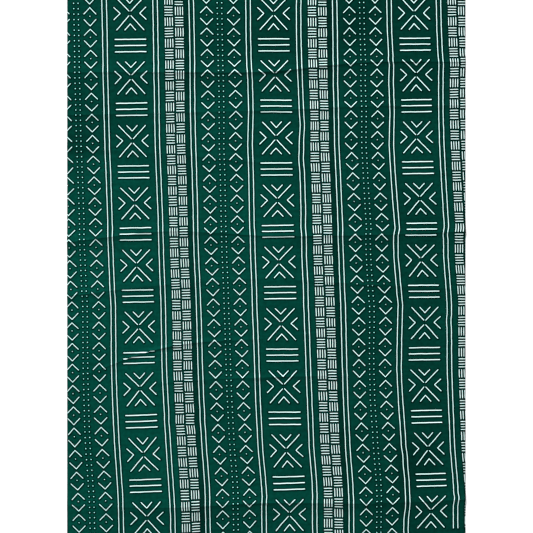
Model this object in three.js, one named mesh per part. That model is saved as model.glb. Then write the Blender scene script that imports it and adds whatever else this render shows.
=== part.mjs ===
// A cut length of printed cotton cloth, lying print side up on a flat surface in low packing folds.
// Units are millimetres and +Z is up. The origin is on the surface, under the middle of the cloth.
// +Y runs along the printed stripes to the top cut, and -Y to the selvedge. +X is to the right.
import * as THREE from "three";

// Driving dimensions of the cut piece.
const WIDTH = 727;
const LENGTH = 1000; // from the top cut to the selvedge, down the left side
const SELVEDGE_SLANT = 15; // the right side is this much shorter, because the selvedge runs a little askew
const THICKNESS = 1;

// How finely the cloth is divided.
const COLUMN_STEP = 34; // most spacing of the columns, which run along the stripes
const COLUMN_GAP = 8; // an even column nearer than this to one of a flute's own columns is left out
const SLOPE_STEPS = [1, 0.5, 0.15]; // rows down each slope of a fold, in shares of its width
const CREASE_SHARPNESS = 2.2; // 1 is a tent with straight slopes, and more gathers the slope near the crest

const PRINT_GREEN = 0x023d33;
const COTTON_ROUGHNESS = 0.85;

// Where along the width the tables below give their values, from the left side to the right.
const STATIONS = [-WIDTH / 2, -WIDTH / 4, 0, WIDTH / 4, WIDTH / 2];

// The folds that run across the cloth, from the top cut down to the selvedge. course is the crest's place
// up the cloth, and rise its height off the surface, both at the five stations. above and below are the
// widths of the fold's two slopes.
const FOLDS = [
  {
    name: "top packing fold",
    above: 34,
    below: 42,
    course: [361, 361, 362, 379, 380],
    rise: [4, 5, 7, 4, 3],
  },
  {
    name: "rumple below it",
    above: 18,
    below: 16,
    course: [283, 287, 292, 299, 301],
    rise: [2, 1.5, 2.5, 2, 1],
  },
  {
    name: "upper swell",
    above: 28,
    below: 24,
    course: [224, 213, 195, 182, 173],
    rise: [2.5, 1, 1.5, 0.5, 0],
  },
  {
    name: "middle packing fold",
    above: 34,
    below: 36,
    course: [51, 71, 63, 64, 71],
    rise: [6, 4, 4, 5, 4],
  },
  {
    name: "swell under the middle",
    above: 24,
    below: 19,
    course: [-47, -26, -15, -26, -35],
    rise: [4, 1.5, 1, 2.5, 1],
  },
  {
    name: "slanting tuck",
    above: 8,
    below: 12,
    course: [-203, -140, -124, -102, -69],
    rise: [0.5, 3.5, 0.8, 0.3, 0.3],
  },
  {
    name: "short crease",
    above: 12,
    below: 18,
    course: [-234, -205, -195, -192, -190],
    rise: [0, 0.5, 3, 0.5, 0],
  },
  {
    name: "lower right crease",
    above: 30,
    below: 34,
    course: [-306, -300, -292, -283, -281],
    rise: [0, 0, 0.3, 1.5, 1],
  },
  {
    name: "bottom packing fold",
    above: 40,
    below: 34,
    course: [-429, -433, -424, -425, -418],
    rise: [2, 4, 6, 5, 4],
  },
];

// Soft flutes where the selvedge has a little spare length: the crest's place across the cloth, its rise
// at the selvedge, the width of each slope, and how far up the cloth it dies out.
const FLUTES = [
  { name: "left flute", x: -303, rise: 4, reach: 36, length: 100 },
  { name: "right flute", x: 162, rise: 4, reach: 32, length: 70 },
];

// Smooth curve through the values at the stations, read at x.
function courseAt(values, x) {
  return new THREE.CubicInterpolant(STATIONS, values, 1).evaluate(x)[0];
}

// Straight lines between the values at the stations, read at x.
function riseAt(values, x) {
  return new THREE.LinearInterpolant(STATIONS, values, 1).evaluate(x)[0];
}

// The selvedge end of the cloth at x.
function selvedgeAt(x) {
  return -LENGTH / 2 + SELVEDGE_SLANT * (x / WIDTH + 0.5);
}

// 1 on the crest of a fold and 0 from its foot outwards, with a creased crest and soft feet.
function slope(distance, width) {
  return Math.max(0, 1 - Math.abs(distance) / width) ** CREASE_SHARPNESS;
}

// How far the underside of the cloth stands off the surface.
function liftAt(x, y) {
  let lift = 0;
  for (const fold of FOLDS) {
    const up = y - courseAt(fold.course, x);
    lift += riseAt(fold.rise, x) * slope(up, up > 0 ? fold.above : fold.below);
  }
  for (const flute of FLUTES) {
    const fade = Math.max(0, 1 - (y - selvedgeAt(x)) / flute.length);
    lift += flute.rise * fade * slope(x - flute.x, flute.reach);
  }
  return lift;
}

// Columns at even steps, with each flute's crest and the middle and foot of its slopes added.
function columnPlaces() {
  const count = Math.ceil(WIDTH / COLUMN_STEP);
  const even = Array.from({ length: count + 1 }, (_, i) => WIDTH * (i / count - 0.5));
  const fluted = FLUTES.flatMap(({ x, reach }) =>
    [-1, -0.4, 0, 0.4, 1].map((share) => x + share * reach),
  );
  const isSide = (x) => Math.abs(x) === WIDTH / 2;
  const isClear = (x) => fluted.every((place) => Math.abs(x - place) > COLUMN_GAP);
  return [...even.filter((x) => isSide(x) || isClear(x)), ...fluted].sort((a, b) => a - b);
}

// Rows follow the folds, so that each crest is a line of vertices. Each row is a function of x.
function rowCourses() {
  const along = FOLDS.flatMap(({ course, above, below }) => {
    const offsets = [
      ...SLOPE_STEPS.map((share) => share * above),
      0,
      ...SLOPE_STEPS.toReversed().map((share) => -share * below),
    ];
    return offsets.map((offset) => (x) => courseAt(course, x) + offset);
  });
  return [() => LENGTH / 2, ...along, selvedgeAt];
}

// A closed sheet: the upper face, the underside, and the rim that joins them all round.
function sheetGeometry() {
  const columns = columnPlaces();
  const rows = rowCourses();
  const across = columns.length;
  const along = rows.length;
  const layer = across * along;

  const positions = [];
  for (const raise of [THICKNESS, 0]) {
    for (const row of rows) {
      for (const x of columns) {
        const y = row(x);
        positions.push(x, y, liftAt(x, y) + raise);
      }
    }
  }

  const indices = [];
  const quad = (a, b, c, d) => indices.push(a, b, c, a, c, d);
  for (let j = 0; j < along - 1; j += 1) {
    for (let i = 0; i < across - 1; i += 1) {
      const near = (j + 1) * across + i;
      const far = j * across + i;
      quad(near, near + 1, far + 1, far);
      quad(layer + near, layer + far, layer + far + 1, layer + near + 1);
    }
  }

  // The rim, walked once round with the cloth on the left hand.
  const rim = [];
  for (let i = 0; i < across - 1; i += 1) rim.push((along - 1) * across + i);
  for (let j = along - 1; j > 0; j -= 1) rim.push(j * across + across - 1);
  for (let i = across - 1; i > 0; i -= 1) rim.push(i);
  for (let j = 0; j < along - 1; j += 1) rim.push(j * across);
  rim.forEach((here, k) => {
    const next = rim[(k + 1) % rim.length];
    quad(here, layer + here, layer + next, next);
  });

  const geometry = new THREE.BufferGeometry();
  geometry.setAttribute("position", new THREE.Float32BufferAttribute(positions, 3));
  geometry.setIndex(indices);
  geometry.computeVertexNormals();
  return geometry;
}

const printedCotton = new THREE.MeshStandardMaterial({
  color: PRINT_GREEN,
  roughness: COTTON_ROUGHNESS,
  metalness: 0,
});

const cloth = new THREE.Mesh(sheetGeometry(), printedCotton);
cloth.name = "cloth";

const fabric = new THREE.Group();
fabric.name = "printed_fabric";
fabric.add(cloth);

export default fabric;
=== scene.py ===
# %% [markdown]
# # A length of printed cotton, lying in its packing folds
#
# The object is one cut length of printed cotton cloth. It lies print side up on a pale surface, and the
# camera looks straight down on it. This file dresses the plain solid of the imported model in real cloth: a
# thin woven sheet with sharp little creases, a resist print in white on bottle green, and a selvedge along
# its lower end.
#
# Lengths in the tables are millimetres, because cloth is cut and printed in them. Blender gets metres.

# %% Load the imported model
import math

import bpy
import numpy as np
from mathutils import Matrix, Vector


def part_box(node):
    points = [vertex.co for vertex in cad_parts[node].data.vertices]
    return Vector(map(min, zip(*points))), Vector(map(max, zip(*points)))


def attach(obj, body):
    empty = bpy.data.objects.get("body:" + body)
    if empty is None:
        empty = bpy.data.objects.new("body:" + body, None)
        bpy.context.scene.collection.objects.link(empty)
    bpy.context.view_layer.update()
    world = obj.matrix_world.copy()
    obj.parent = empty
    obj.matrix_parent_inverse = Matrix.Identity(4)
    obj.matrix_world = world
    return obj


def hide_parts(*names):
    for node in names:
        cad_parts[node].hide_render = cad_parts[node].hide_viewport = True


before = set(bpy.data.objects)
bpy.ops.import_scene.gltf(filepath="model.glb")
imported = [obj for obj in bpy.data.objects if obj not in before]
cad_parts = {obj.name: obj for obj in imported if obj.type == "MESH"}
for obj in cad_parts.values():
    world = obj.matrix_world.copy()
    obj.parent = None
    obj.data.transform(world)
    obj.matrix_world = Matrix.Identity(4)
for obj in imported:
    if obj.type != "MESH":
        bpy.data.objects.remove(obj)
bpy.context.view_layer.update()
MM = 0.001

# %% [markdown]
# ## Sizes that the solid gives
#
# The cloth is as wide and as long as the solid it replaces, so those two sizes are read from the model and
# not written again. Only what the solid can't say is named here: how thin real cotton is, how far the
# selvedge runs askew, and the plain strip that the print leaves bare beside it, which is wider at the
# right-hand corner.

# %% Driving sizes
low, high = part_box("cloth")
WIDTH = (high[0] - low[0]) / MM
LENGTH = (high[1] - low[1]) / MM
SELVEDGE_SLANT = 15
COTTON = 0.4
BARE_STRIP = 6
BARE_CORNER = 9  # how much wider the bare strip is at the right
print(f"cloth {WIDTH:.0f} x {LENGTH:.0f} mm")

# %% [markdown]
# ## The folds
#
# Cloth that was packed in a bundle keeps a straight crease at each fold, and picks up short rumples
# between them. Each fold is a low ridge with a sharper crease along its crest. Its course and its heights
# change along the way, so the table gives them at five stations from the left side of the cloth to the
# right. A simulation could crumple a flat sheet, but it would put creases where it liked. Giving each one
# its place in the table keeps them where they are on the real cloth.

# %% Tables of folds
STATIONS = np.array([-0.5, -0.25, 0, 0.25, 0.5]) * WIDTH

# name, widths of the slope above the crest and below it, course up the cloth, rise off the surface,
# and how high the sharp crease along the crest stands
FOLDS = [
    ("top fold", 34, 42, (361, 361, 362, 379, 380), (4, 5, 7, 4, 3), (0.6, 0.9, 1.5, 1.4, 1.2)),
    ("rumple below it", 18, 16, (283, 287, 292, 299, 301), (2, 1.5, 2.5, 2, 1), (0.4, 0.15, 0.4, 0.2, 0.3)),
    ("upper swell", 28, 24, (224, 213, 195, 182, 173), (2.5, 1, 1.5, 0.5, 0), (0.2, 0.1, 0.4, 0.1, 0)),
    ("middle fold", 34, 36, (51, 71, 63, 64, 71), (6, 4, 4, 5, 4), (0.9, 0.6, 1.3, 0.7, 0.6)),
    ("lower swell", 24, 19, (-47, -26, -15, -26, -35), (4, 1.5, 1, 2.5, 1), (0.3, 0.1, 0, 0.2, 0.1)),
    ("tuck", 8, 12, (-203, -140, -124, -102, -69), (0.5, 3.5, 0.8, 0.3, 0.3), (0.2, 0.7, 0.1, 0, 0)),
    ("short crease", 12, 18, (-234, -205, -195, -192, -190), (0, 0.5, 3, 0.5, 0), (0, 0.05, 0.7, 0.1, 0)),
    ("lower right crease", 30, 34, (-306, -300, -292, -283, -281), (0, 0, 0.3, 1.5, 1), (0, 0, 0, 0.1, 0.1)),
    ("bottom fold", 40, 34, (-429, -433, -424, -425, -418), (2, 4, 6, 5, 4), (0.1, 0.4, 0.9, 0.4, 0.6)),
]

# name, place across the cloth, rise at the selvedge, width of each slope, length up the cloth
FLUTES = [
    ("left flute", -303, 4, 36, 100),
    ("right flute", 162, 4, 32, 70),
]

# The power of every slope, which gathers it near its crest, and the widths of the sharp crease's two slopes.
CREASE_SHARPNESS = 2.2
CREASE_ABOVE = 12
CREASE_BELOW = 4


def selvedge_at(x):
    """The selvedge end of the cloth: a straight line that climbs by SELVEDGE_SLANT from left to right."""
    return -LENGTH / 2 + SELVEDGE_SLANT * (x / WIDTH + 0.5)


def smooth_course(values, x):
    """A cubic through the values at the stations, with each slope taken from the two neighbours."""
    values = np.asarray(values, float)
    slopes = np.gradient(values, STATIONS)
    k = np.clip(np.searchsorted(STATIONS, x) - 1, 0, len(STATIONS) - 2)
    step = STATIONS[k + 1] - STATIONS[k]
    t = (x - STATIONS[k]) / step
    left = values[k] * (1 + 2 * t) * (1 - t) ** 2 + slopes[k] * step * t * (1 - t) ** 2
    right = values[k + 1] * t**2 * (3 - 2 * t) + slopes[k + 1] * step * t**2 * (t - 1)
    return left + right


def slope(distance, width, power):
    """1 on a crest and 0 from its foot outwards: what is left of the width, to a power."""
    return np.clip(1 - np.abs(distance) / width, 0, 1) ** power


def broken(x, k):
    """A crease's own unevenness: 1, give or take a third, as two sines of unlike length that start at k."""
    return 1 + 0.2 * np.sin(x / 13 + 2 * k) + 0.15 * np.sin(x / 29 + k)


def lift_at(x, y):
    """Height of the cloth's underside: the sum of the folds' broad slopes, their creases and the flutes."""
    lift = np.zeros_like(x)
    for k, (_, above, below, course, rise, crease) in enumerate(FOLDS):
        up = y - smooth_course(course, x)
        broad = slope(up, np.where(up > 0, above, below), CREASE_SHARPNESS)
        sharp = slope(up, np.where(up > 0, CREASE_ABOVE, CREASE_BELOW), CREASE_SHARPNESS)
        sharp_rise = np.interp(x, STATIONS, crease) * broken(x, k)
        lift += (np.interp(x, STATIONS, rise) - sharp_rise) * broad + sharp_rise * sharp
    for _, place, rise, reach, length in FLUTES:
        fade = np.clip(1 - (y - selvedge_at(x)) / length, 0, 1)
        lift += rise * fade * slope(x - place, reach, CREASE_SHARPNESS)
    return lift


# %% [markdown]
# ## How the print lies
#
# A printed stripe on real cloth is never quite straight once the cloth is laid out: it leans, it sways at
# each crease, a tuck swallows two millimetres of it, and here and there it is dragged a millimetre or two
# aside. The cloth's own coordinates record that. Two tables give the sway and the slip over the whole
# cloth, and a third the local drags. Each point of the sheet gets its place in the print, across and down,
# in a UV map, so the drawing in the material can be perfectly regular and still bend with the cloth.

# %% The lay of the print
# The stripes lean to the right by LEAN for each millimetre down. The first pair of long lines starts at
# FIRST_LINES at the top cut. SPREAD and TIGHTENING turn places on the cloth into places in the print, and
# FIRST_JOINT is where its first repeat starts, down from the top cut.
LEAN = 0.0331
FIRST_LINES = -299.4
SPREAD = 0.9864
TIGHTENING = 1.49e-5
FIRST_JOINT = 15.5

# Places across the print where the sway is given: the left cut, then each pair of long lines.
PAIRS = (-75, 0, 92, 158, 259.2, 351.2, 417.2, 518.4, 610.4)

# down the cloth from the top cut, and how far the print sways to the right at each of those places
SWAY = [
    (7, (3.0, 3.0, 3.0, 2.0, 4.0, 4.0, 3.5, 1.5, 0.0)),
    (66, (2.5, 2.5, 2.0, 1.5, 2.5, 2.0, 2.5, 0.5, -0.5)),
    (124, (1.5, 1.5, 1.0, 0.5, 2.0, 1.5, 1.0, 2.5, 2.0)),
    (153, (1.0, 1.0, 0.5, -0.5, 3.0, 2.0, 0.0, 0.5, -0.5)),
    (212, (0.5, 0.5, -0.5, -2.0, 2.5, 2.5, -0.5, 0.5, -2.5)),
    (270, (0.0, 0.0, -1.5, -2.5, -1.0, 0.5, -1.5, -3.0, -2.5)),
    (328, (0.5, 0.5, -1.0, -2.5, -1.0, 0.0, -0.5, -1.5, -1.5)),
    (387, (0.5, 0.5, -0.5, -3.0, -2.0, 0.0, 0.0, 1.0, 0.0)),
    (423, (0.5, 0.5, -0.5, -3.5, -2.5, -1.5, 0.5, 3.0, 1.0)),
    (437, (0.0, 0.0, -0.5, -4.0, -2.0, -0.5, -0.5, -0.5, -1.0)),
    (474, (0.0, 0.0, -1.0, -4.0, -2.5, -1.5, 0.0, -1.0, -2.0)),
    (533, (0.5, 0.5, -0.5, -3.0, -2.0, -0.5, 0.0, 2.0, 0.5)),
    (562, (1.5, 1.5, -0.5, -3.0, -2.5, -1.0, 0.5, 4.0, 1.5)),
    (620, (0.0, 0.0, -1.5, -3.0, -2.0, -0.5, 0.0, 0.5, -0.5)),
    (679, (-1.5, -1.5, -2.5, -3.5, -2.0, -0.5, -0.5, -2.5, -2.0)),
    (737, (-2.0, -1.5, -1.5, -3.0, -2.0, 0.0, -0.5, -1.5, -2.0)),
    (825, (-1.5, 0.0, 0.5, -1.0, -0.5, 0.5, 0.5, 2.0, -1.5)),
    (883, (0.0, 2.0, 2.5, 1.5, 3.0, 3.5, 3.0, 5.5, 1.5)),
    (912, (1.0, 3.0, 3.5, 2.0, 4.0, 3.5, 3.5, 5.5, 3.5)),
    (930, (1.5, 3.0, 4.0, 1.5, 2.5, 2.5, 3.0, 3.0, 0.5)),
    (971, (1.0, 2.5, 3.5, 1.0, 1.5, 1.5, 2.0, 0.5, -0.5)),
]

# down the cloth from the top cut, and how far the print slips down at the five stations
SLIP = [
    (7, (0.0, -2.0, -0.5, -1.5, -2.0)),
    (95, (3.0, 1.0, 0.5, 0.0, -2.0)),
    (128, (3.5, 1.5, -0.5, -1.0, -3.5)),
    (146, (4.0, 1.5, -1.5, -0.5, -4.0)),
    (197, (6.0, 2.5, -2.0, -1.0, -4.0)),
    (263, (6.0, 4.0, -1.0, -1.5, -4.0)),
    (416, (6.0, 2.5, -0.5, -4.0, -6.0)),
    (445, (6.0, 2.5, -1.5, -5.0, -5.5)),
    (555, (5.5, 2.0, -3.0, -5.0, -6.5)),
    (637, (5.0, 0.0, -3.5, -4.0, -7.0)),
    (673, (5.0, -1.5, -4.0, -4.0, -6.5)),
    (792, (7.5, 2.5, -1.0, -2.0, -6.5)),
    (856, (12.0, 5.0, 1.0, -0.5, -5.0)),
    (912, (12.5, 6.5, 3.5, 1.0, -5.0)),
    (980, (13.0, 10.0, 4.0, 1.0, -4.5)),
]

# The tuck hides a little cloth above its crest: places across, and how much of the print is out of sight
# there. From the first to the second place down the cloth, that grows from nothing to the whole. The margin
# leaves the row on the crest itself below it.
TUCK_COURSE = next(fold[3] for fold in FOLDS if fold[0] == "tuck")
TUCK_PLACES = (-300, -275, -205, -185)
TUCK_HIDES = (0.0, 2.3, 2.3, 0.0)
TUCK_PULLS = (633, 650)
CREST_MARGIN = 0.01

# name, middle across and down the cloth, half width, half length, and the drag to the right and down
DRAGS = [
    ("first crosses, low down", -237, 838, 70, 55, 0, 1.8),
    ("first crosses, above those", -240, 772, 60, 35, -0.4, 0.8),
    ("first crosses, lower middle", -237, 713, 60, 35, 0, -0.8),
    ("first baskets, middle", -153, 593, 45, 50, 0, 1.8),
    ("first baskets, foot", -155, 950, 55, 60, 0.5, 1.8),
    ("first baskets, top", -155, 70, 50, 70, 0, -1.2),
    ("left diamonds, top", -320, 40, 50, 50, 0, 1.0),
    ("left diamonds, low down", -320, 800, 60, 90, -0.9, 0),
    ("second diamonds, top", -69, 40, 50, 50, 0, 0.8),
    ("second crosses, upper", 18, 230, 60, 40, 0, -0.9),
    ("second crosses, low down", 18, 895, 70, 40, 0, 1.2),
    ("second crosses, foot", 18, 955, 70, 30, 0, -1.5),
    ("second crosses, middle", 18, 653, 70, 40, 0, 0.8),
    ("second baskets, foot", 102, 950, 50, 50, 0, -1.6),
    ("third diamonds, upper middle", 190, 292, 60, 40, 0, 1.0),
    ("third diamonds, middle", 190, 592, 60, 50, 0.8, 0.2),
    ("third diamonds, lower middle", 190, 745, 60, 60, -0.8, -0.8),
    ("third diamonds, foot", 190, 950, 60, 50, 0.8, 0.8),
    ("third crosses, top", 276, 45, 60, 45, -0.3, 1.0),
    ("third crosses, below the top", 300, 112, 110, 45, -1.3, 0),
    ("third crosses, middle", 276, 473, 60, 40, -0.5, -0.7),
    ("third crosses, lower middle", 276, 710, 60, 50, -0.4, -0.9),
    ("third crosses, low down", 276, 835, 60, 45, -0.8, 0),
    ("lines beside the first baskets, low down", -150, 777, 70, 18, -1.0, 0),
    ("lines before the second baskets, upper", 62, 236, 30, 28, 1.6, 0),
    ("lines before the second baskets, below that", 65, 298, 30, 24, -1.4, 0),
    ("lines before the third crosses, top fold", 226, 116, 30, 10, -1.1, 0),
    ("lines before the third crosses, low down", 250, 839, 30, 20, 1.3, 0),
    ("lines before the third crosses, bottom fold", 253, 931, 30, 24, 1.9, 0),
    ("last lines, middle fold", 328, 430, 35, 14, -1.5, 0),
    ("last lines, lower middle", 333, 593, 35, 14, -1.1, 0),
    ("last lines, bottom fold", 343, 904, 35, 12, -1.1, 0),
]


def from_table(table, places, across, down):
    """Reads a table of rows down the cloth and places across it, in straight lines both ways."""
    rows = np.array([row[0] for row in table], float)
    values = np.array([row[1] for row in table], float)
    places = np.array(places, float)
    across = np.clip(across, places[0], places[-1])
    j = np.clip(np.searchsorted(rows, down) - 1, 0, len(rows) - 2)
    i = np.clip(np.searchsorted(places, across) - 1, 0, len(places) - 2)
    t = np.clip((down - rows[j]) / (rows[j + 1] - rows[j]), 0, 1)
    s = (across - places[i]) / (places[i + 1] - places[i])
    upper = values[j, i] * (1 - s) + values[j, i + 1] * s
    lower = values[j + 1, i] * (1 - s) + values[j + 1, i + 1] * s
    return upper * (1 - t) + lower * t


def dragged(x, down):
    """Sum of the drags, right and down. Each fades from its middle as (1 - r squared) squared."""
    right, lower = np.zeros_like(x), np.zeros_like(x)
    for _, place, depth, half_width, half_length, across, along in DRAGS:
        r_squared = ((x - place) / half_width) ** 2 + ((down - depth) / half_length) ** 2
        share = np.clip(1 - r_squared, 0, 1) ** 2
        right += across * share
        lower += along * share
    return right, lower


def print_place(x, y):
    """Place in the print, across and down. Across, the drag, the lean and the sway are taken off, and the
    slow tightening of the stripes towards the right. Down, the drag, the slip and the tuck are."""
    down = LENGTH / 2 - y
    right, lower = dragged(x, down)
    leaning = x - right - FIRST_LINES - LEAN * down
    straight = leaning - from_table(SWAY, PAIRS, SPREAD * leaning, down)
    across = SPREAD * straight + TIGHTENING * straight**2
    above_tuck = y > smooth_course(TUCK_COURSE, x) + CREST_MARGIN
    pulled = above_tuck * np.interp(down, TUCK_PULLS, (0, 1)) * np.interp(x, TUCK_PLACES, TUCK_HIDES)
    slip = from_table(SLIP, STATIONS, x, down) + pulled
    return across, down - FIRST_JOINT - slip - lower


# %% [markdown]
# ## The sheet
#
# The sheet is a grid. Its columns run down the cloth at even steps, and its rows follow the creases,
# crowded together near each crest, so that a crest is a clean line of vertices. The face and the back are
# two layers a cotton's thickness apart, joined by a rim, which makes one closed mesh. A Solidify modifier
# could give the thickness too, but here the two layers need different materials, so they are made
# directly.

# %% Grid of the sheet
COLUMNS = 146
ROWS_PER_FOLD = 30


def row_lines(x):
    """Rows down the cloth: from crest to crest, at places 0.5 - 0.5 cos(pi t), which crowd at both ends."""
    crests = [smooth_course(fold[3], x) for fold in FOLDS]
    guides = [np.full_like(x, LENGTH / 2), *crests, selvedge_at(x)]
    t = 0.5 - 0.5 * np.cos(np.pi * np.arange(ROWS_PER_FOLD) / ROWS_PER_FOLD)
    bands = [a + (b - a) * t[:, None] for a, b in zip(guides, guides[1:])]
    return np.concatenate([*bands, guides[-1][None]])


def sheet_grid():
    """Plan of the sheet: x and y of each vertex, rows down the cloth by columns across it."""
    x = np.linspace(-WIDTH / 2, WIDTH / 2, COLUMNS + 1)
    y = row_lines(x)
    return np.broadcast_to(x, y.shape).copy(), y


def quads_of(rows, columns):
    """Corner numbers of a grid's quads, turned so that the face looks up where rows run down the cloth."""
    near = np.arange(rows - 1)[:, None] * columns + np.arange(columns - 1)
    return np.stack([near, near + columns, near + columns + 1, near + 1], axis=-1).reshape(-1, 4)


def rim_of(rows, columns):
    """Vertex numbers round the edge of the grid, in one loop that has the cloth on its left hand."""
    left = np.arange(rows - 1) * columns
    bottom = (rows - 1) * columns + np.arange(columns - 1)
    right = np.arange(rows - 1, 0, -1) * columns + columns - 1
    top = np.arange(columns - 1, 0, -1)
    return np.concatenate([left, bottom, right, top])


def make_cloth():
    """The closed sheet, its UV map of places in the print, and its materials: 0 face, 1 back and rim."""
    x, y = sheet_grid()
    lift = lift_at(x, y)
    rows, columns = x.shape
    layer = rows * columns
    face = np.stack([x, y, lift + COTTON], axis=-1).reshape(-1, 3)
    back = np.stack([x, y, lift], axis=-1).reshape(-1, 3)
    upper = quads_of(rows, columns)
    lower = upper[:, ::-1] + layer
    here = rim_of(rows, columns)
    following = np.roll(here, -1)
    rim = np.stack([here, here + layer, following + layer, following], axis=-1)
    faces = np.concatenate([upper, lower, rim])

    mesh = bpy.data.meshes.new("printed_cotton")
    mesh.from_pydata((np.concatenate([face, back]) * MM).tolist(), [], faces.tolist())
    across, down = print_place(x, y)
    places = np.tile(np.stack([across, down], axis=-1).reshape(-1, 2), (2, 1)) * MM
    uv = mesh.uv_layers.new(name="print")
    uv.data.foreach_set("uv", places[faces.ravel()].astype(np.float32).ravel())
    side = np.repeat([0, 1], [len(upper), len(lower) + len(rim)]).astype(np.int32)
    mesh.polygons.foreach_set("material_index", side)
    mesh.polygons.foreach_set("use_smooth", np.ones(len(faces), bool))
    mesh.validate()
    mesh.update()
    cloth = bpy.data.objects.new("printed_cotton", mesh)
    bpy.context.collection.objects.link(cloth)
    print(f"sheet of {rows} x {columns} points, {2 * len(faces)} triangles")
    print(f"highest fold {lift.max():.1f} mm")
    return cloth


cloth = make_cloth()

# %% [markdown]
# ## Arithmetic as nodes
#
# The print is drawn by the material, as a distance: for each point of the cloth, how far it is from the
# edge of the nearest white stroke, negative inside the stroke. A distance gives the crisp white, the soft
# edge and the darker rim of dye beside it, all from one number. These helpers write such arithmetic as
# nodes without long lists of links.


# %% Node helpers
class Sums:
    """Adds nodes to one tree. Each call takes numbers, vectors or sockets, and node gives back the node, and
    the others the socket that holds the answer."""

    def __init__(self, tree):
        self.tree = tree

    def node(self, kind, inputs=(), **settings):
        made = self.tree.nodes.new(kind)
        for name, value in settings.items():
            setattr(made, name, value)
        for key, value in dict(inputs).items():
            if isinstance(value, bpy.types.NodeSocket):
                self.tree.links.new(value, made.inputs[key])
            else:
                made.inputs[key].default_value = value
        return made

    def sum(self, operation, *values, clamp=False):
        made = self.node("ShaderNodeMath", enumerate(values), operation=operation, use_clamp=clamp)
        return made.outputs[0]

    def vector(self, operation, *values, out=0):
        made = self.node("ShaderNodeVectorMath", enumerate(values), operation=operation)
        return made.outputs[out]

    def scaled(self, vector, by):
        """The vector or colour times a number or a socket."""
        return self.node("ShaderNodeVectorMath", {0: vector, "Scale": by}, operation="SCALE").outputs[0]

    def wrapped(self, value, centre, pitch):
        """Distance from the nearest repeat of centre, from minus half a pitch to half a pitch."""
        return self.sum("WRAP", self.sum("SUBTRACT", value, centre), pitch / 2, -pitch / 2)

    def least(self, *values):
        """The smallest of all the values."""
        answer = values[0]
        for value in values[1:]:
            answer = self.sum("MINIMUM", answer, value)
        return answer

    def product(self, *values):
        """All the values multiplied together."""
        answer = values[0]
        for value in values[1:]:
            answer = self.sum("MULTIPLY", answer, value)
        return answer

    def mixed(self, share, first, second):
        """Colour that goes from first to second as share goes from 0 to 1."""
        made = self.node("ShaderNodeMix", data_type="RGBA")
        for name, value in {"Factor": share, "A": first, "B": second}.items():
            socket = next(i for i in made.inputs if i.name == name and i.enabled)
            if isinstance(value, bpy.types.NodeSocket):
                self.tree.links.new(value, socket)
            else:
                socket.default_value = (*value, 1.0)
        return next(o for o in made.outputs if o.enabled)

    def noise(self, place, scale, detail, out="Fac"):
        """Smooth noise over the plane, from 0 to 1, with so many lumps to each unit of place."""
        inputs = {"Vector": place, "Scale": scale, "Detail": detail}
        return self.node("ShaderNodeTexNoise", inputs, noise_dimensions="2D").outputs[out]

    def pair(self, x, y):
        """A vector of two values, with nothing up."""
        return self.node("ShaderNodeCombineXYZ", {"X": x, "Y": y}).outputs[0]

    def ramp(self, value, start, end, low=0.0, high=1.0):
        """A smooth step: low up to start, and high from end on."""
        made = self.node(
            "ShaderNodeMapRange",
            {"Value": value, "From Min": start, "From Max": end, "To Min": low, "To Max": high},
            interpolation_type="SMOOTHSTEP",
        )
        return made.outputs["Result"]


def new_group(name, inputs, outputs):
    """An empty shader group with named sockets: its tree, its Sums, and its input and output nodes."""
    tree = bpy.data.node_groups.new(name, "ShaderNodeTree")
    for socket, kind in inputs.items():
        tree.interface.new_socket(name=socket, in_out="INPUT", socket_type=kind)
    for socket, kind in outputs.items():
        tree.interface.new_socket(name=socket, in_out="OUTPUT", socket_type=kind)
    sums = Sums(tree)
    return tree, sums, sums.node("NodeGroupInput"), sums.node("NodeGroupOutput")


# %% [markdown]
# ## Strokes
#
# Every motif of the print is a stroke, a stack of equal strokes, or a dot. The first group measures the
# distance to one straight stroke: it finds the nearest point of the line between its two ends, and the
# length of what is left. The second finds the nearest stroke of a stack first.

# %% Stroke groups
FLOAT, VECTOR = "NodeSocketFloat", "NodeSocketVector"


def stroke_group():
    """Distance from Point to the line between Start and End."""
    inputs = {"Point": VECTOR, "Start": VECTOR, "End": VECTOR}
    tree, s, given, result = new_group("single stroke", inputs, {"Distance": FLOAT})
    point, start, end = (given.outputs[name] for name in inputs)
    from_start = s.vector("SUBTRACT", point, start)
    run = s.vector("SUBTRACT", end, start)
    part = s.vector("DOT_PRODUCT", from_start, run, out=1)
    whole = s.vector("DOT_PRODUCT", run, run, out=1)
    share = s.sum("DIVIDE", part, whole, clamp=True)
    scaled = s.scaled(run, share)
    rest = s.vector("SUBTRACT", from_start, scaled)
    tree.links.new(s.vector("LENGTH", rest, out=1), result.inputs["Distance"])
    return tree


def stack_group(stroke):
    """Distance to the nearest of Count equal strokes, Pitch apart, that run along Along round zero."""
    inputs = {"Along": FLOAT, "Across": FLOAT, "Pitch": FLOAT, "Count": FLOAT, "Half length": FLOAT}
    tree, s, given, result = new_group("stack of strokes", inputs, {"Distance": FLOAT})
    along, across, pitch, count, half = (given.outputs[name] for name in inputs)
    last = s.sum("SUBTRACT", count, 1)
    middle = s.sum("MULTIPLY", last, 0.5)
    number = s.sum("ROUND", s.sum("ADD", s.sum("DIVIDE", across, pitch), middle))
    nearest = s.sum("MINIMUM", s.sum("MAXIMUM", number, 0), last)
    offset = s.sum("SUBTRACT", across, s.sum("MULTIPLY", s.sum("SUBTRACT", nearest, middle), pitch))
    point = s.pair(s.sum("ABSOLUTE", along), offset)
    made = s.node("ShaderNodeGroup", {"Point": point, "End": s.pair(half, 0.0)}, node_tree=stroke)
    tree.links.new(made.outputs["Distance"], result.inputs["Distance"])
    return tree


single_stroke = stroke_group()
stroke_stack = stack_group(single_stroke)

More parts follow.
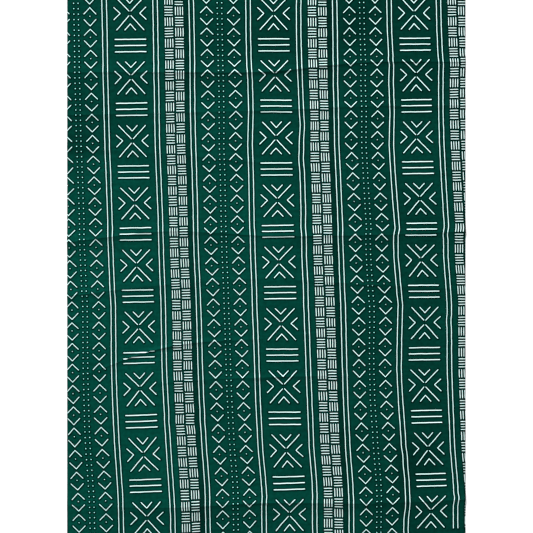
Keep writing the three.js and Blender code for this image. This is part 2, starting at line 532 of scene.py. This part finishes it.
# %% [markdown]
# ## The printed repeat
#
# The repeat is 259 mm across. It holds three pairs of long lines, and between them a column of crosses and
# bars, a double column of basket blocks, and two columns of diamonds with dots between. Down the cloth
# each column repeats at its own pitch. The drawing is charted from these few sizes, and a little noise
# bends it by a fraction of a millimetre, as a hand-cut stencil would.

# %% Sizes of the repeat, in millimetres
# For each column: its place across the repeat, its pitch and first place down, and its strokes' sizes. A
# stroke's ends are given from the middle of its motif, in one quarter of it, which is then mirrored.
REPEAT = 259.2
LINE_PAIRS = (0.0, 92.0, 158.0)
LINE_GAP = 8.2
LINE_WIDTH = 1.1

CROSS_COLUMN = 46.2
CROSS_PITCH = 113.9
CROSS_DROP = 15.6
CROSS_STROKES = {
    "arm": ((1.8, 4.1), (24.6, 28.4)),
    "top and bottom chevron": ((0.0, 18.2), (9.6, 28.6)),
    "side chevron": ((17.8, 0.2), (29.0, 10.7)),
}
CROSS_LOWER_HALF = 0.03  # how much taller a cross is below its middle, and lower above it, as a share
CROSS_WIDTH = 1.2
BAR_PITCH = 11.0
BAR_HALF = 28.6
BAR_WIDTH = 1.45

BASKET_COLUMNS = (116.4, 135.4)
BASKET_PITCH = 38.05
BASKET_DROP = 12.7
BASKET_STROKES = 4
UPRIGHT_STEP = 4.45
LEVEL_STEP = 4.8
BASKET_HALF = 7.0
BASKET_WIDTH = 1.11

DIAMOND_COLUMNS = (184.9, 233.1)
DIAMOND_PITCH = 38.05
DIAMOND_DROP = 1.1
DIAMOND_STROKE = ((0.0, 3.0), (10.9, 14.1))
DIAMOND_WIDTH = 1.07
DIAMOND_DOT_DROP = 19.0
DIAMOND_DOT = 0.74

DOT_COLUMN = 208.3
DOT_GAP = 8.0
DOT_PITCH = 9.46
DOT_DROP = -3.2
DOT = 0.83

# A band of deeper green beside the baskets, and the stencil's unevenness: how far, and over what length.
DEEP_BAND = 148.8
DEEP_BAND_HALF = 4.6
WOBBLE = 0.4
WOBBLE_SIZE = 14


# %% The print as one distance
def print_group():
    """Distance in millimetres from Place to the edge of the nearest printed stroke, negative inside it.
    Bare is how far the point lies inside the unprinted strip. Dots is 1 in the columns of fine dots,
    Baskets in the columns of basket blocks, and Beside baskets in the band of deeper green."""
    outputs = {"Distance": FLOAT, "Beside baskets": FLOAT, "Dots": FLOAT, "Baskets": FLOAT}
    tree, s, given, result = new_group("mudcloth print", {"Place": VECTOR, "Bare": FLOAT}, outputs)
    millimetres = s.scaled(given.outputs["Place"], 1 / MM)
    shake = s.vector("SUBTRACT", s.noise(millimetres, 1 / WOBBLE_SIZE, 1.0, out="Color"), (0.5, 0.5, 0.5))
    sized = s.vector("MULTIPLY", shake, (2 * WOBBLE, 2 * WOBBLE, 0))
    place = s.node("ShaderNodeSeparateXYZ", {0: s.vector("ADD", millimetres, sized)})
    u, v = place.outputs["X"], place.outputs["Y"]

    def stroke(point, ends, width):
        inputs = {"Point": point, "Start": (*ends[0], 0), "End": (*ends[1], 0)}
        made = s.node("ShaderNodeGroup", inputs, node_tree=single_stroke)
        return s.sum("SUBTRACT", made.outputs["Distance"], width / 2)

    def stack(along, across, pitch, count, half, width):
        inputs = {"Along": along, "Across": across, "Pitch": pitch, "Count": count}
        inputs["Half length"] = half - width / 2
        made = s.node("ShaderNodeGroup", inputs, node_tree=stroke_stack)
        return s.sum("SUBTRACT", made.outputs["Distance"], width / 2)

    def dot(x, y, radius):
        return s.sum("SUBTRACT", s.vector("LENGTH", s.pair(x, y), out=1), radius)

    def long_lines(centre):
        x = s.sum("ABSOLUTE", s.wrapped(u, centre, REPEAT))
        return s.sum("SUBTRACT", s.sum("ABSOLUTE", s.sum("SUBTRACT", x, LINE_GAP / 2)), LINE_WIDTH / 2)

    def crosses_and_bars():
        x = s.wrapped(u, CROSS_COLUMN, REPEAT)
        y = s.wrapped(v, CROSS_DROP, CROSS_PITCH)
        folded = s.sum("MULTIPLY_ADD", y, -CROSS_LOWER_HALF, s.sum("ABSOLUTE", y))
        quarter = s.pair(s.sum("ABSOLUTE", x), folded)
        crosses = [stroke(quarter, ends, CROSS_WIDTH) for ends in CROSS_STROKES.values()]
        between = s.wrapped(v, CROSS_DROP + CROSS_PITCH / 2, CROSS_PITCH)
        return s.least(*crosses, stack(x, between, BAR_PITCH, 3, BAR_HALF, BAR_WIDTH))

    def basket(column, drop):
        x = s.wrapped(u, column, REPEAT)
        level = s.wrapped(v, drop, BASKET_PITCH)
        upright = s.wrapped(v, drop + BASKET_PITCH / 2, BASKET_PITCH)
        half = BASKET_HALF + BASKET_WIDTH / 2
        across = stack(x, level, LEVEL_STEP, BASKET_STROKES, half, BASKET_WIDTH)
        along = stack(upright, x, UPRIGHT_STEP, BASKET_STROKES, half, BASKET_WIDTH)
        return s.least(across, along)

    def diamonds(column):
        x = s.wrapped(u, column, REPEAT)
        y = s.wrapped(v, DIAMOND_DROP, DIAMOND_PITCH)
        quarter = s.pair(s.sum("ABSOLUTE", x), s.sum("ABSOLUTE", y))
        outline = stroke(quarter, DIAMOND_STROKE, DIAMOND_WIDTH)
        return s.least(outline, dot(x, s.wrapped(v, DIAMOND_DOT_DROP, DIAMOND_PITCH), DIAMOND_DOT))

    def dot_columns():
        x = s.sum("ABSOLUTE", s.wrapped(u, DOT_COLUMN, REPEAT))
        return dot(s.sum("SUBTRACT", x, DOT_GAP / 2), s.wrapped(v, DOT_DROP, DOT_PITCH), DOT)

    drops = (BASKET_DROP, BASKET_DROP + BASKET_PITCH / 2)
    baskets = [basket(column, drop) for column, drop in zip(BASKET_COLUMNS, drops)]
    nearest = s.least(
        *map(long_lines, LINE_PAIRS),
        crosses_and_bars(),
        *baskets,
        *map(diamonds, DIAMOND_COLUMNS),
        dot_columns(),
    )
    distance = s.sum("MAXIMUM", nearest, given.outputs["Bare"])
    tree.links.new(distance, result.inputs["Distance"])
    basket_gap = BASKET_COLUMNS[1] - BASKET_COLUMNS[0]
    from_dots = s.sum("ABSOLUTE", s.wrapped(u, DOT_COLUMN, REPEAT))
    from_baskets = s.sum("ABSOLUTE", s.wrapped(u, sum(BASKET_COLUMNS) / 2, REPEAT))
    beside = s.sum("ABSOLUTE", s.wrapped(u, DEEP_BAND, REPEAT))
    tree.links.new(s.sum("LESS_THAN", from_dots, DOT_GAP), result.inputs["Dots"])
    tree.links.new(s.sum("LESS_THAN", from_baskets, basket_gap), result.inputs["Baskets"])
    tree.links.new(s.ramp(beside, DEEP_BAND_HALF, DEEP_BAND_HALF / 2), result.inputs["Beside baskets"])
    return tree


mudcloth_print = print_group()
print(f"print group has {len(mudcloth_print.nodes)} nodes")

# %% [markdown]
# ## Weave and dye
#
# Plain weave passes each thread over one and under the next, so the cloth is a fine egg-crate of high and
# low crossings. That is the weave group's height. Its threads are also never equally dyed or equally
# thick, which shows as faint streaks both ways, and between the folds the cloth lies a little slack, in
# shallow wrinkles that run across it. The dye group adds the slow mottling of a dye bath. The patches are
# larger places where the ground is darker or paler, each placed one by one: partly dye, partly painted
# shade, and in the pale ones partly painted light.

# %% Weave and dye groups
# Widths of a thread, of its streaks and of the slack wrinkles across and down the cloth, in millimetres.
THREAD = 0.42
THREAD_STREAK = 18
SLACK_LENGTHS = (60, 9)

# lumps to a metre, detail, contrast and lowest depth of the dye
CLOUDS = (9.0, 3.0, 0.5, 0.75)
MOTTLE = (160.0, 3.0, 0.7, 0.65)


def weave_group():
    """Height of a plain weave, sin(x) sin(y) at the thread pitch, a tone for streaks along both threads,
    and the height of the slack cloth between the folds."""
    outputs = {"Height": FLOAT, "Tone": FLOAT, "Slack": FLOAT}
    tree, s, given, result = new_group("plain weave", {"Place": VECTOR}, outputs)
    place = s.node("ShaderNodeSeparateXYZ", {0: given.outputs["Place"]})
    turns = math.pi / (THREAD * MM)
    waves = [s.sum("SINE", s.sum("MULTIPLY", place.outputs[axis], turns)) for axis in ("X", "Y")]
    height = s.sum("MULTIPLY_ADD", s.sum("MULTIPLY", *waves), 0.5, 0.5)
    streaks = []
    for scale in ((1 / THREAD, 1 / THREAD_STREAK, 0), (1 / THREAD_STREAK, 1 / THREAD, 0)):
        stretched = s.vector("MULTIPLY", given.outputs["Place"], tuple(value / MM for value in scale))
        streaks.append(s.noise(stretched, 1.0, 0.0))
    lengths = tuple(1 / (length * MM) for length in SLACK_LENGTHS)
    slack = s.noise(s.vector("MULTIPLY", given.outputs["Place"], (*lengths, 0)), 1.0, 1.0)
    tree.links.new(slack, result.inputs["Slack"])
    tree.links.new(height, result.inputs["Height"])
    tree.links.new(s.sum("MULTIPLY", s.sum("ADD", *streaks), 0.5), result.inputs["Tone"])
    return tree


def dye_group():
    """Depth of the dye, near 1: slow clouds over a hand's width, times a finer mottling."""
    tree, s, given, result = new_group("dye bath", {"Place": VECTOR}, {"Depth": FLOAT})
    layers = []
    for scale, detail, contrast, lowest in (CLOUDS, MOTTLE):
        noise = s.noise(given.outputs["Place"], scale, detail)
        layers.append(s.sum("MULTIPLY_ADD", noise, contrast, lowest))
    tree.links.new(s.sum("MULTIPLY", *layers), result.inputs["Depth"])
    return tree


# A patch has its full shade over this share of its oval, and fades from there.
PATCH_CORE = 0.2
# name, middle across and up the cloth, half width, half length, and the shade there: under 1 is darker
# The dark patches are partly dye and partly painted shade, and the pale ones are partly painted light.
PATCHES = [
    ("dark patch at the lower right", 285, -345, 60, 65, 0.68),
    ("dark patch at the top", 150, 470, 75, 75, 0.84),
    ("top middle", -10, 430, 210, 95, 0.86),
    ("under the top fold, middle", -20, 325, 120, 40, 0.9),
    ("left, below the top fold", -305, 270, 115, 90, 0.86),
    ("left edge, upper part", -345, 240, 60, 190, 0.88),
    ("dark patch on the left", -335, 230, 80, 28, 0.8),
    ("pale patch on the left", -305, 15, 110, 70, 1.06),
    ("bottom", -190, -450, 190, 90, 0.89),
    ("pale patch at the bottom", 150, -460, 50, 50, 1.16),
    ("between the baskets, low down", -60, -350, 85, 60, 0.87),
    ("right edge", 345, 0, 55, 700, 1.17),
    ("right, upper part", 310, 250, 100, 170, 1.13),
    ("beside the first baskets, low down", -122, -440, 22, 70, 0.85),
    ("top left", -260, 450, 150, 90, 0.94),
    ("low on the right", 205, -200, 70, 50, 0.9),
    ("beside the third lines, low down", 250, -365, 25, 110, 0.72),
]


def patch_group():
    """Shade of the ground, near 1: the product of all the patches, each a smooth oval of its own depth,
    partly dye and partly painted shade and light.
    """
    tree, s, given, result = new_group("painted shade and dye patches", {"Position": VECTOR}, {"Shade": FLOAT})
    shade = 1.0
    for _, x, y, half_width, half_length, depth in PATCHES:
        offset = s.vector("SUBTRACT", given.outputs["Position"], (x * MM, y * MM, 0))
        sized = s.vector("MULTIPLY", offset, (1 / (half_width * MM), 1 / (half_length * MM), 0))
        oval = s.vector("LENGTH", sized, out=1)
        shade = s.sum("MULTIPLY", shade, s.ramp(oval, PATCH_CORE, 1.0, depth, 1.0))
    tree.links.new(shade, result.inputs["Shade"])
    return tree


plain_weave = weave_group()
dye_bath = dye_group()
shade_and_dye_patches = patch_group()

# %% [markdown]
# ## The two sides of the cloth
#
# Wax-resist prints are dyed right through, so the back carries the same drawing, only a little paler and
# softer. Both sides are the same recipe with their own colours, and what doesn't change over the surface
# sits on the shader's own sockets. Dye creeps a hair's breadth under the wax, so a white stroke ends in a
# thin edge of clear green. Close beside a stroke the ground is darker, most of all below it and to its
# right. Over the whole cloth the ground darkens towards the right and the top, and in patches: this is
# partly dye and partly painted shade. The fine dots never come quite clear of dye. The gloss is very low:
# this is dry cotton.

# %% Cloth materials
# A stroke's edge: its half width in millimetres, the colour of the dye that crept in, and its share in the
# baskets, whose strokes are clearer.
SOFT_EDGE = 0.31
CREPT_DYE = (0.025, 0.49, 0.43)
CREPT_IN_BASKETS = 0.85

# The darker rim of ground beside a stroke: from where to where it fades, its depth, and its shift right and
# down.
DARK_RIM_REACH = (1.1, 3.5)
DARK_RIM_DEPTH = 0.85
BACK_DARK_RIM_DEPTH = 0.25
DARK_RIM_SHIFT = (0.2, 0.4, 0.0)
DEEP_BAND_TONE = 0.6

# Slow changes over the cloth: from where to where, in metres across or up it, and the shares at both ends.
# The ground's darkening towards the right and towards the top is partly dye and partly painted shade.
DYE_AND_SHADE_RIGHTWARDS = (-0.2, 0.4, 1.0, 0.66)
DYE_AND_SHADE_UPWARDS = (0.05, 0.5, 1.0, 0.8)
WHITE_RIGHTWARDS = (-0.36, 0.3, 0.94, 1.05)
BARE_RIGHTWARDS = (0.25, 0.34, BARE_STRIP, BARE_STRIP + BARE_CORNER)

# How much the threads' streaks change the dye and the white, each as a contrast and a lowest tone.
STREAKS_IN_DYE = (0.3, 0.85)
STREAKS_IN_WHITE = (0.3, 0.7)

# Heights of the bump in millimetres, its strength, and the dry surface.
THREAD_HEIGHT = 0.06
SLACK_HEIGHT = 1.2
THREAD_STRENGTH = 0.8
COTTON_ROUGHNESS = 0.85
COTTON_SPECULAR = 0.01

# colours of the ground, of the white strokes, of the fine dots and of the baskets' strokes
FACE_COLOURS = ((0.0005, 0.0397, 0.0277), (0.88, 0.94, 0.94), (0.6, 0.97, 0.92), (0.96, 0.98, 0.98))
BACK_COLOURS = ((0.003, 0.047, 0.035), (0.5, 0.58, 0.57), (0.4, 0.57, 0.55), (0.55, 0.59, 0.58))


def bare_strip(s, lying):
    """How far a point lies inside the unprinted strip, in millimetres, negative outside it. The strip runs
    along the selvedge, the line y = edge, which climbs from left to right."""
    spot = s.node("ShaderNodeSeparateXYZ", {0: lying})
    middle = (SELVEDGE_SLANT - LENGTH) / 2 * MM
    edge = s.sum("MULTIPLY_ADD", spot.outputs["X"], SELVEDGE_SLANT / WIDTH, middle)
    inside = s.sum("SUBTRACT", spot.outputs["Y"], edge)
    return s.sum("MULTIPLY_ADD", inside, -1 / MM, s.ramp(spot.outputs["X"], *BARE_RIGHTWARDS))


def cotton_material(name, ground, white, dots, baskets, dark_rim_depth):
    """Printed cotton: the print's distance lays the strokes over the ground, with crept dye at their edges,
    and darkens the ground beside them. The ground also darkens towards the right, towards the top and in
    patches: partly dye and partly painted shade."""
    material = bpy.data.materials.new(name)
    material.use_nodes = True
    tree = material.node_tree
    tree.nodes.clear()
    s = Sums(tree)
    uv = s.node("ShaderNodeUVMap", uv_map="print").outputs[0]
    lying = s.node("ShaderNodeTexCoord").outputs["Object"]
    spot = s.node("ShaderNodeSeparateXYZ", {0: lying})
    bare = bare_strip(s, lying)
    dark_rim_place = s.vector("SUBTRACT", uv, tuple(shift * MM for shift in DARK_RIM_SHIFT))
    drawing = s.node("ShaderNodeGroup", {"Place": uv, "Bare": bare}, node_tree=mudcloth_print)
    rim = s.node("ShaderNodeGroup", {"Place": dark_rim_place, "Bare": bare}, node_tree=mudcloth_print)
    weave = s.node("ShaderNodeGroup", {"Place": uv}, node_tree=plain_weave)
    dye = s.node("ShaderNodeGroup", {"Place": uv}, node_tree=dye_bath)
    patches = s.node("ShaderNodeGroup", {"Position": lying}, node_tree=shade_and_dye_patches)

    tone = s.sum("MULTIPLY_ADD", weave.outputs["Tone"], *STREAKS_IN_DYE)
    shades = [
        dye.outputs["Depth"],
        tone,
        s.ramp(rim.outputs["Distance"], *DARK_RIM_REACH, 1 - dark_rim_depth, 1.0),
        # Partly dye and partly painted shade: the ground darkens towards the right and the top, and in the
        # patches.
        s.ramp(spot.outputs["X"], *DYE_AND_SHADE_RIGHTWARDS),
        s.ramp(spot.outputs["Y"], *DYE_AND_SHADE_UPWARDS),
        s.sum("MULTIPLY_ADD", drawing.outputs["Beside baskets"], DEEP_BAND_TONE - 1, 1.0),
        patches.outputs["Shade"],
    ]
    dyed_and_shaded = s.scaled(ground, s.product(*shades))

    plain_or_dots = s.mixed(drawing.outputs["Dots"], white, dots)
    stroke = s.mixed(drawing.outputs["Baskets"], plain_or_dots, baskets)
    streaked = s.sum("MULTIPLY_ADD", tone, *STREAKS_IN_WHITE)
    undyed = s.scaled(stroke, s.product(streaked, s.ramp(spot.outputs["X"], *WHITE_RIGHTWARDS)))

    distance = drawing.outputs["Distance"]
    creeping = s.sum("MULTIPLY_ADD", drawing.outputs["Baskets"], CREPT_IN_BASKETS - 1, 1.0)
    crept = s.product(s.ramp(distance, SOFT_EDGE, 0.0), creeping)
    edged = s.mixed(crept, dyed_and_shaded, CREPT_DYE)
    colour = s.mixed(s.ramp(distance, 0.0, -SOFT_EDGE), edged, undyed)

    slack = {"Height": weave.outputs["Slack"], "Distance": SLACK_HEIGHT * MM}
    wrinkles = s.node("ShaderNodeBump", slack).outputs[0]
    threads = {"Height": weave.outputs["Height"], "Distance": THREAD_HEIGHT * MM, "Normal": wrinkles}
    bump = s.node("ShaderNodeBump", {**threads, "Strength": THREAD_STRENGTH}).outputs[0]
    surface = {"Base Color": colour, "Normal": bump, "Roughness": COTTON_ROUGHNESS}
    shader = s.node("ShaderNodeBsdfPrincipled", {**surface, "Specular IOR Level": COTTON_SPECULAR})
    s.node("ShaderNodeOutputMaterial", {"Surface": shader.outputs[0]})
    return material


cloth.data.materials.append(cotton_material("cotton_face", *FACE_COLOURS, DARK_RIM_DEPTH))
cloth.data.materials.append(cotton_material("cotton_back", *BACK_COLOURS, BACK_DARK_RIM_DEPTH))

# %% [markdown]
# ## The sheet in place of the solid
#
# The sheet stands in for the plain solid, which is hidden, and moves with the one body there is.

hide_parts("cloth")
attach(cloth, "root")

# %% [markdown]
# ## Floor, light and camera
#
# The floor is plain and pale. A broad key light comes in low from the top of the cloth, so that each
# crease shows a light slope above and a dark one below. The camera looks straight down, as far off as a
# long lens would be, and its view takes in a little less than the cloth's length.

# %% Floor
# Half the side of the floor and how far it lies under the cloth, so that the two don't mix, both in metres,
# and the one value of its paper's tone and roughness.
FLOOR = 30.0
FLOOR_DROP = 0.0002
PAPER = 0.9
corners = [(x * FLOOR, y * FLOOR, -FLOOR_DROP) for x, y in ((-1, -1), (1, -1), (1, 1), (-1, 1))]
floor_mesh = bpy.data.meshes.new("floor")
floor_mesh.from_pydata(corners, [], [(0, 1, 2, 3)])
floor = bpy.data.objects.new("floor", floor_mesh)
bpy.context.collection.objects.link(floor)
paper = bpy.data.materials.new("pale_floor")
paper.use_nodes = True
paper_shader = paper.node_tree.nodes["Principled BSDF"]
paper_shader.inputs["Base Color"].default_value = (PAPER, PAPER, PAPER, 1)
paper_shader.inputs["Roughness"].default_value = PAPER
floor.data.materials.append(paper)

# %% Lights
# The key light's place and side in metres and its power in watts, and the strength of the even light.
KEY_PLACE = (-2.0, 6.5, 4.2)
KEY_SIZE = 1.2
KEY_POWER = 942
SKY = 0.74
key_data = bpy.data.lights.new("key", "AREA")
key_data.shape = "SQUARE"
key_data.size = KEY_SIZE
key_data.energy = KEY_POWER
key = bpy.data.objects.new("key", key_data)
key.location = KEY_PLACE
key.rotation_euler = (-Vector(KEY_PLACE)).to_track_quat("-Z", "Y").to_euler()
bpy.context.collection.objects.link(key)
world = bpy.data.worlds.new("studio")
world.use_nodes = True
background = world.node_tree.nodes["Background"]
background.inputs["Color"].default_value = (1, 1, 1, 1)
background.inputs["Strength"].default_value = SKY
bpy.context.scene.world = world
bpy.context.scene.view_settings.view_transform = "Standard"

# %% Camera
# Width of the view and its middle in millimetres, and the camera's height in metres.
VIEW = 972.7
VIEW_CENTRE = (0.3, 7.2)
CAMERA_HEIGHT = 3.2
camera_data = bpy.data.cameras.new("camera")
camera = bpy.data.objects.new("camera", camera_data)
camera.location = (VIEW_CENTRE[0] * MM, VIEW_CENTRE[1] * MM, CAMERA_HEIGHT)
camera_data.lens = camera_data.sensor_width * CAMERA_HEIGHT / (VIEW * MM)
bpy.context.collection.objects.link(camera)
bpy.context.scene.camera = camera
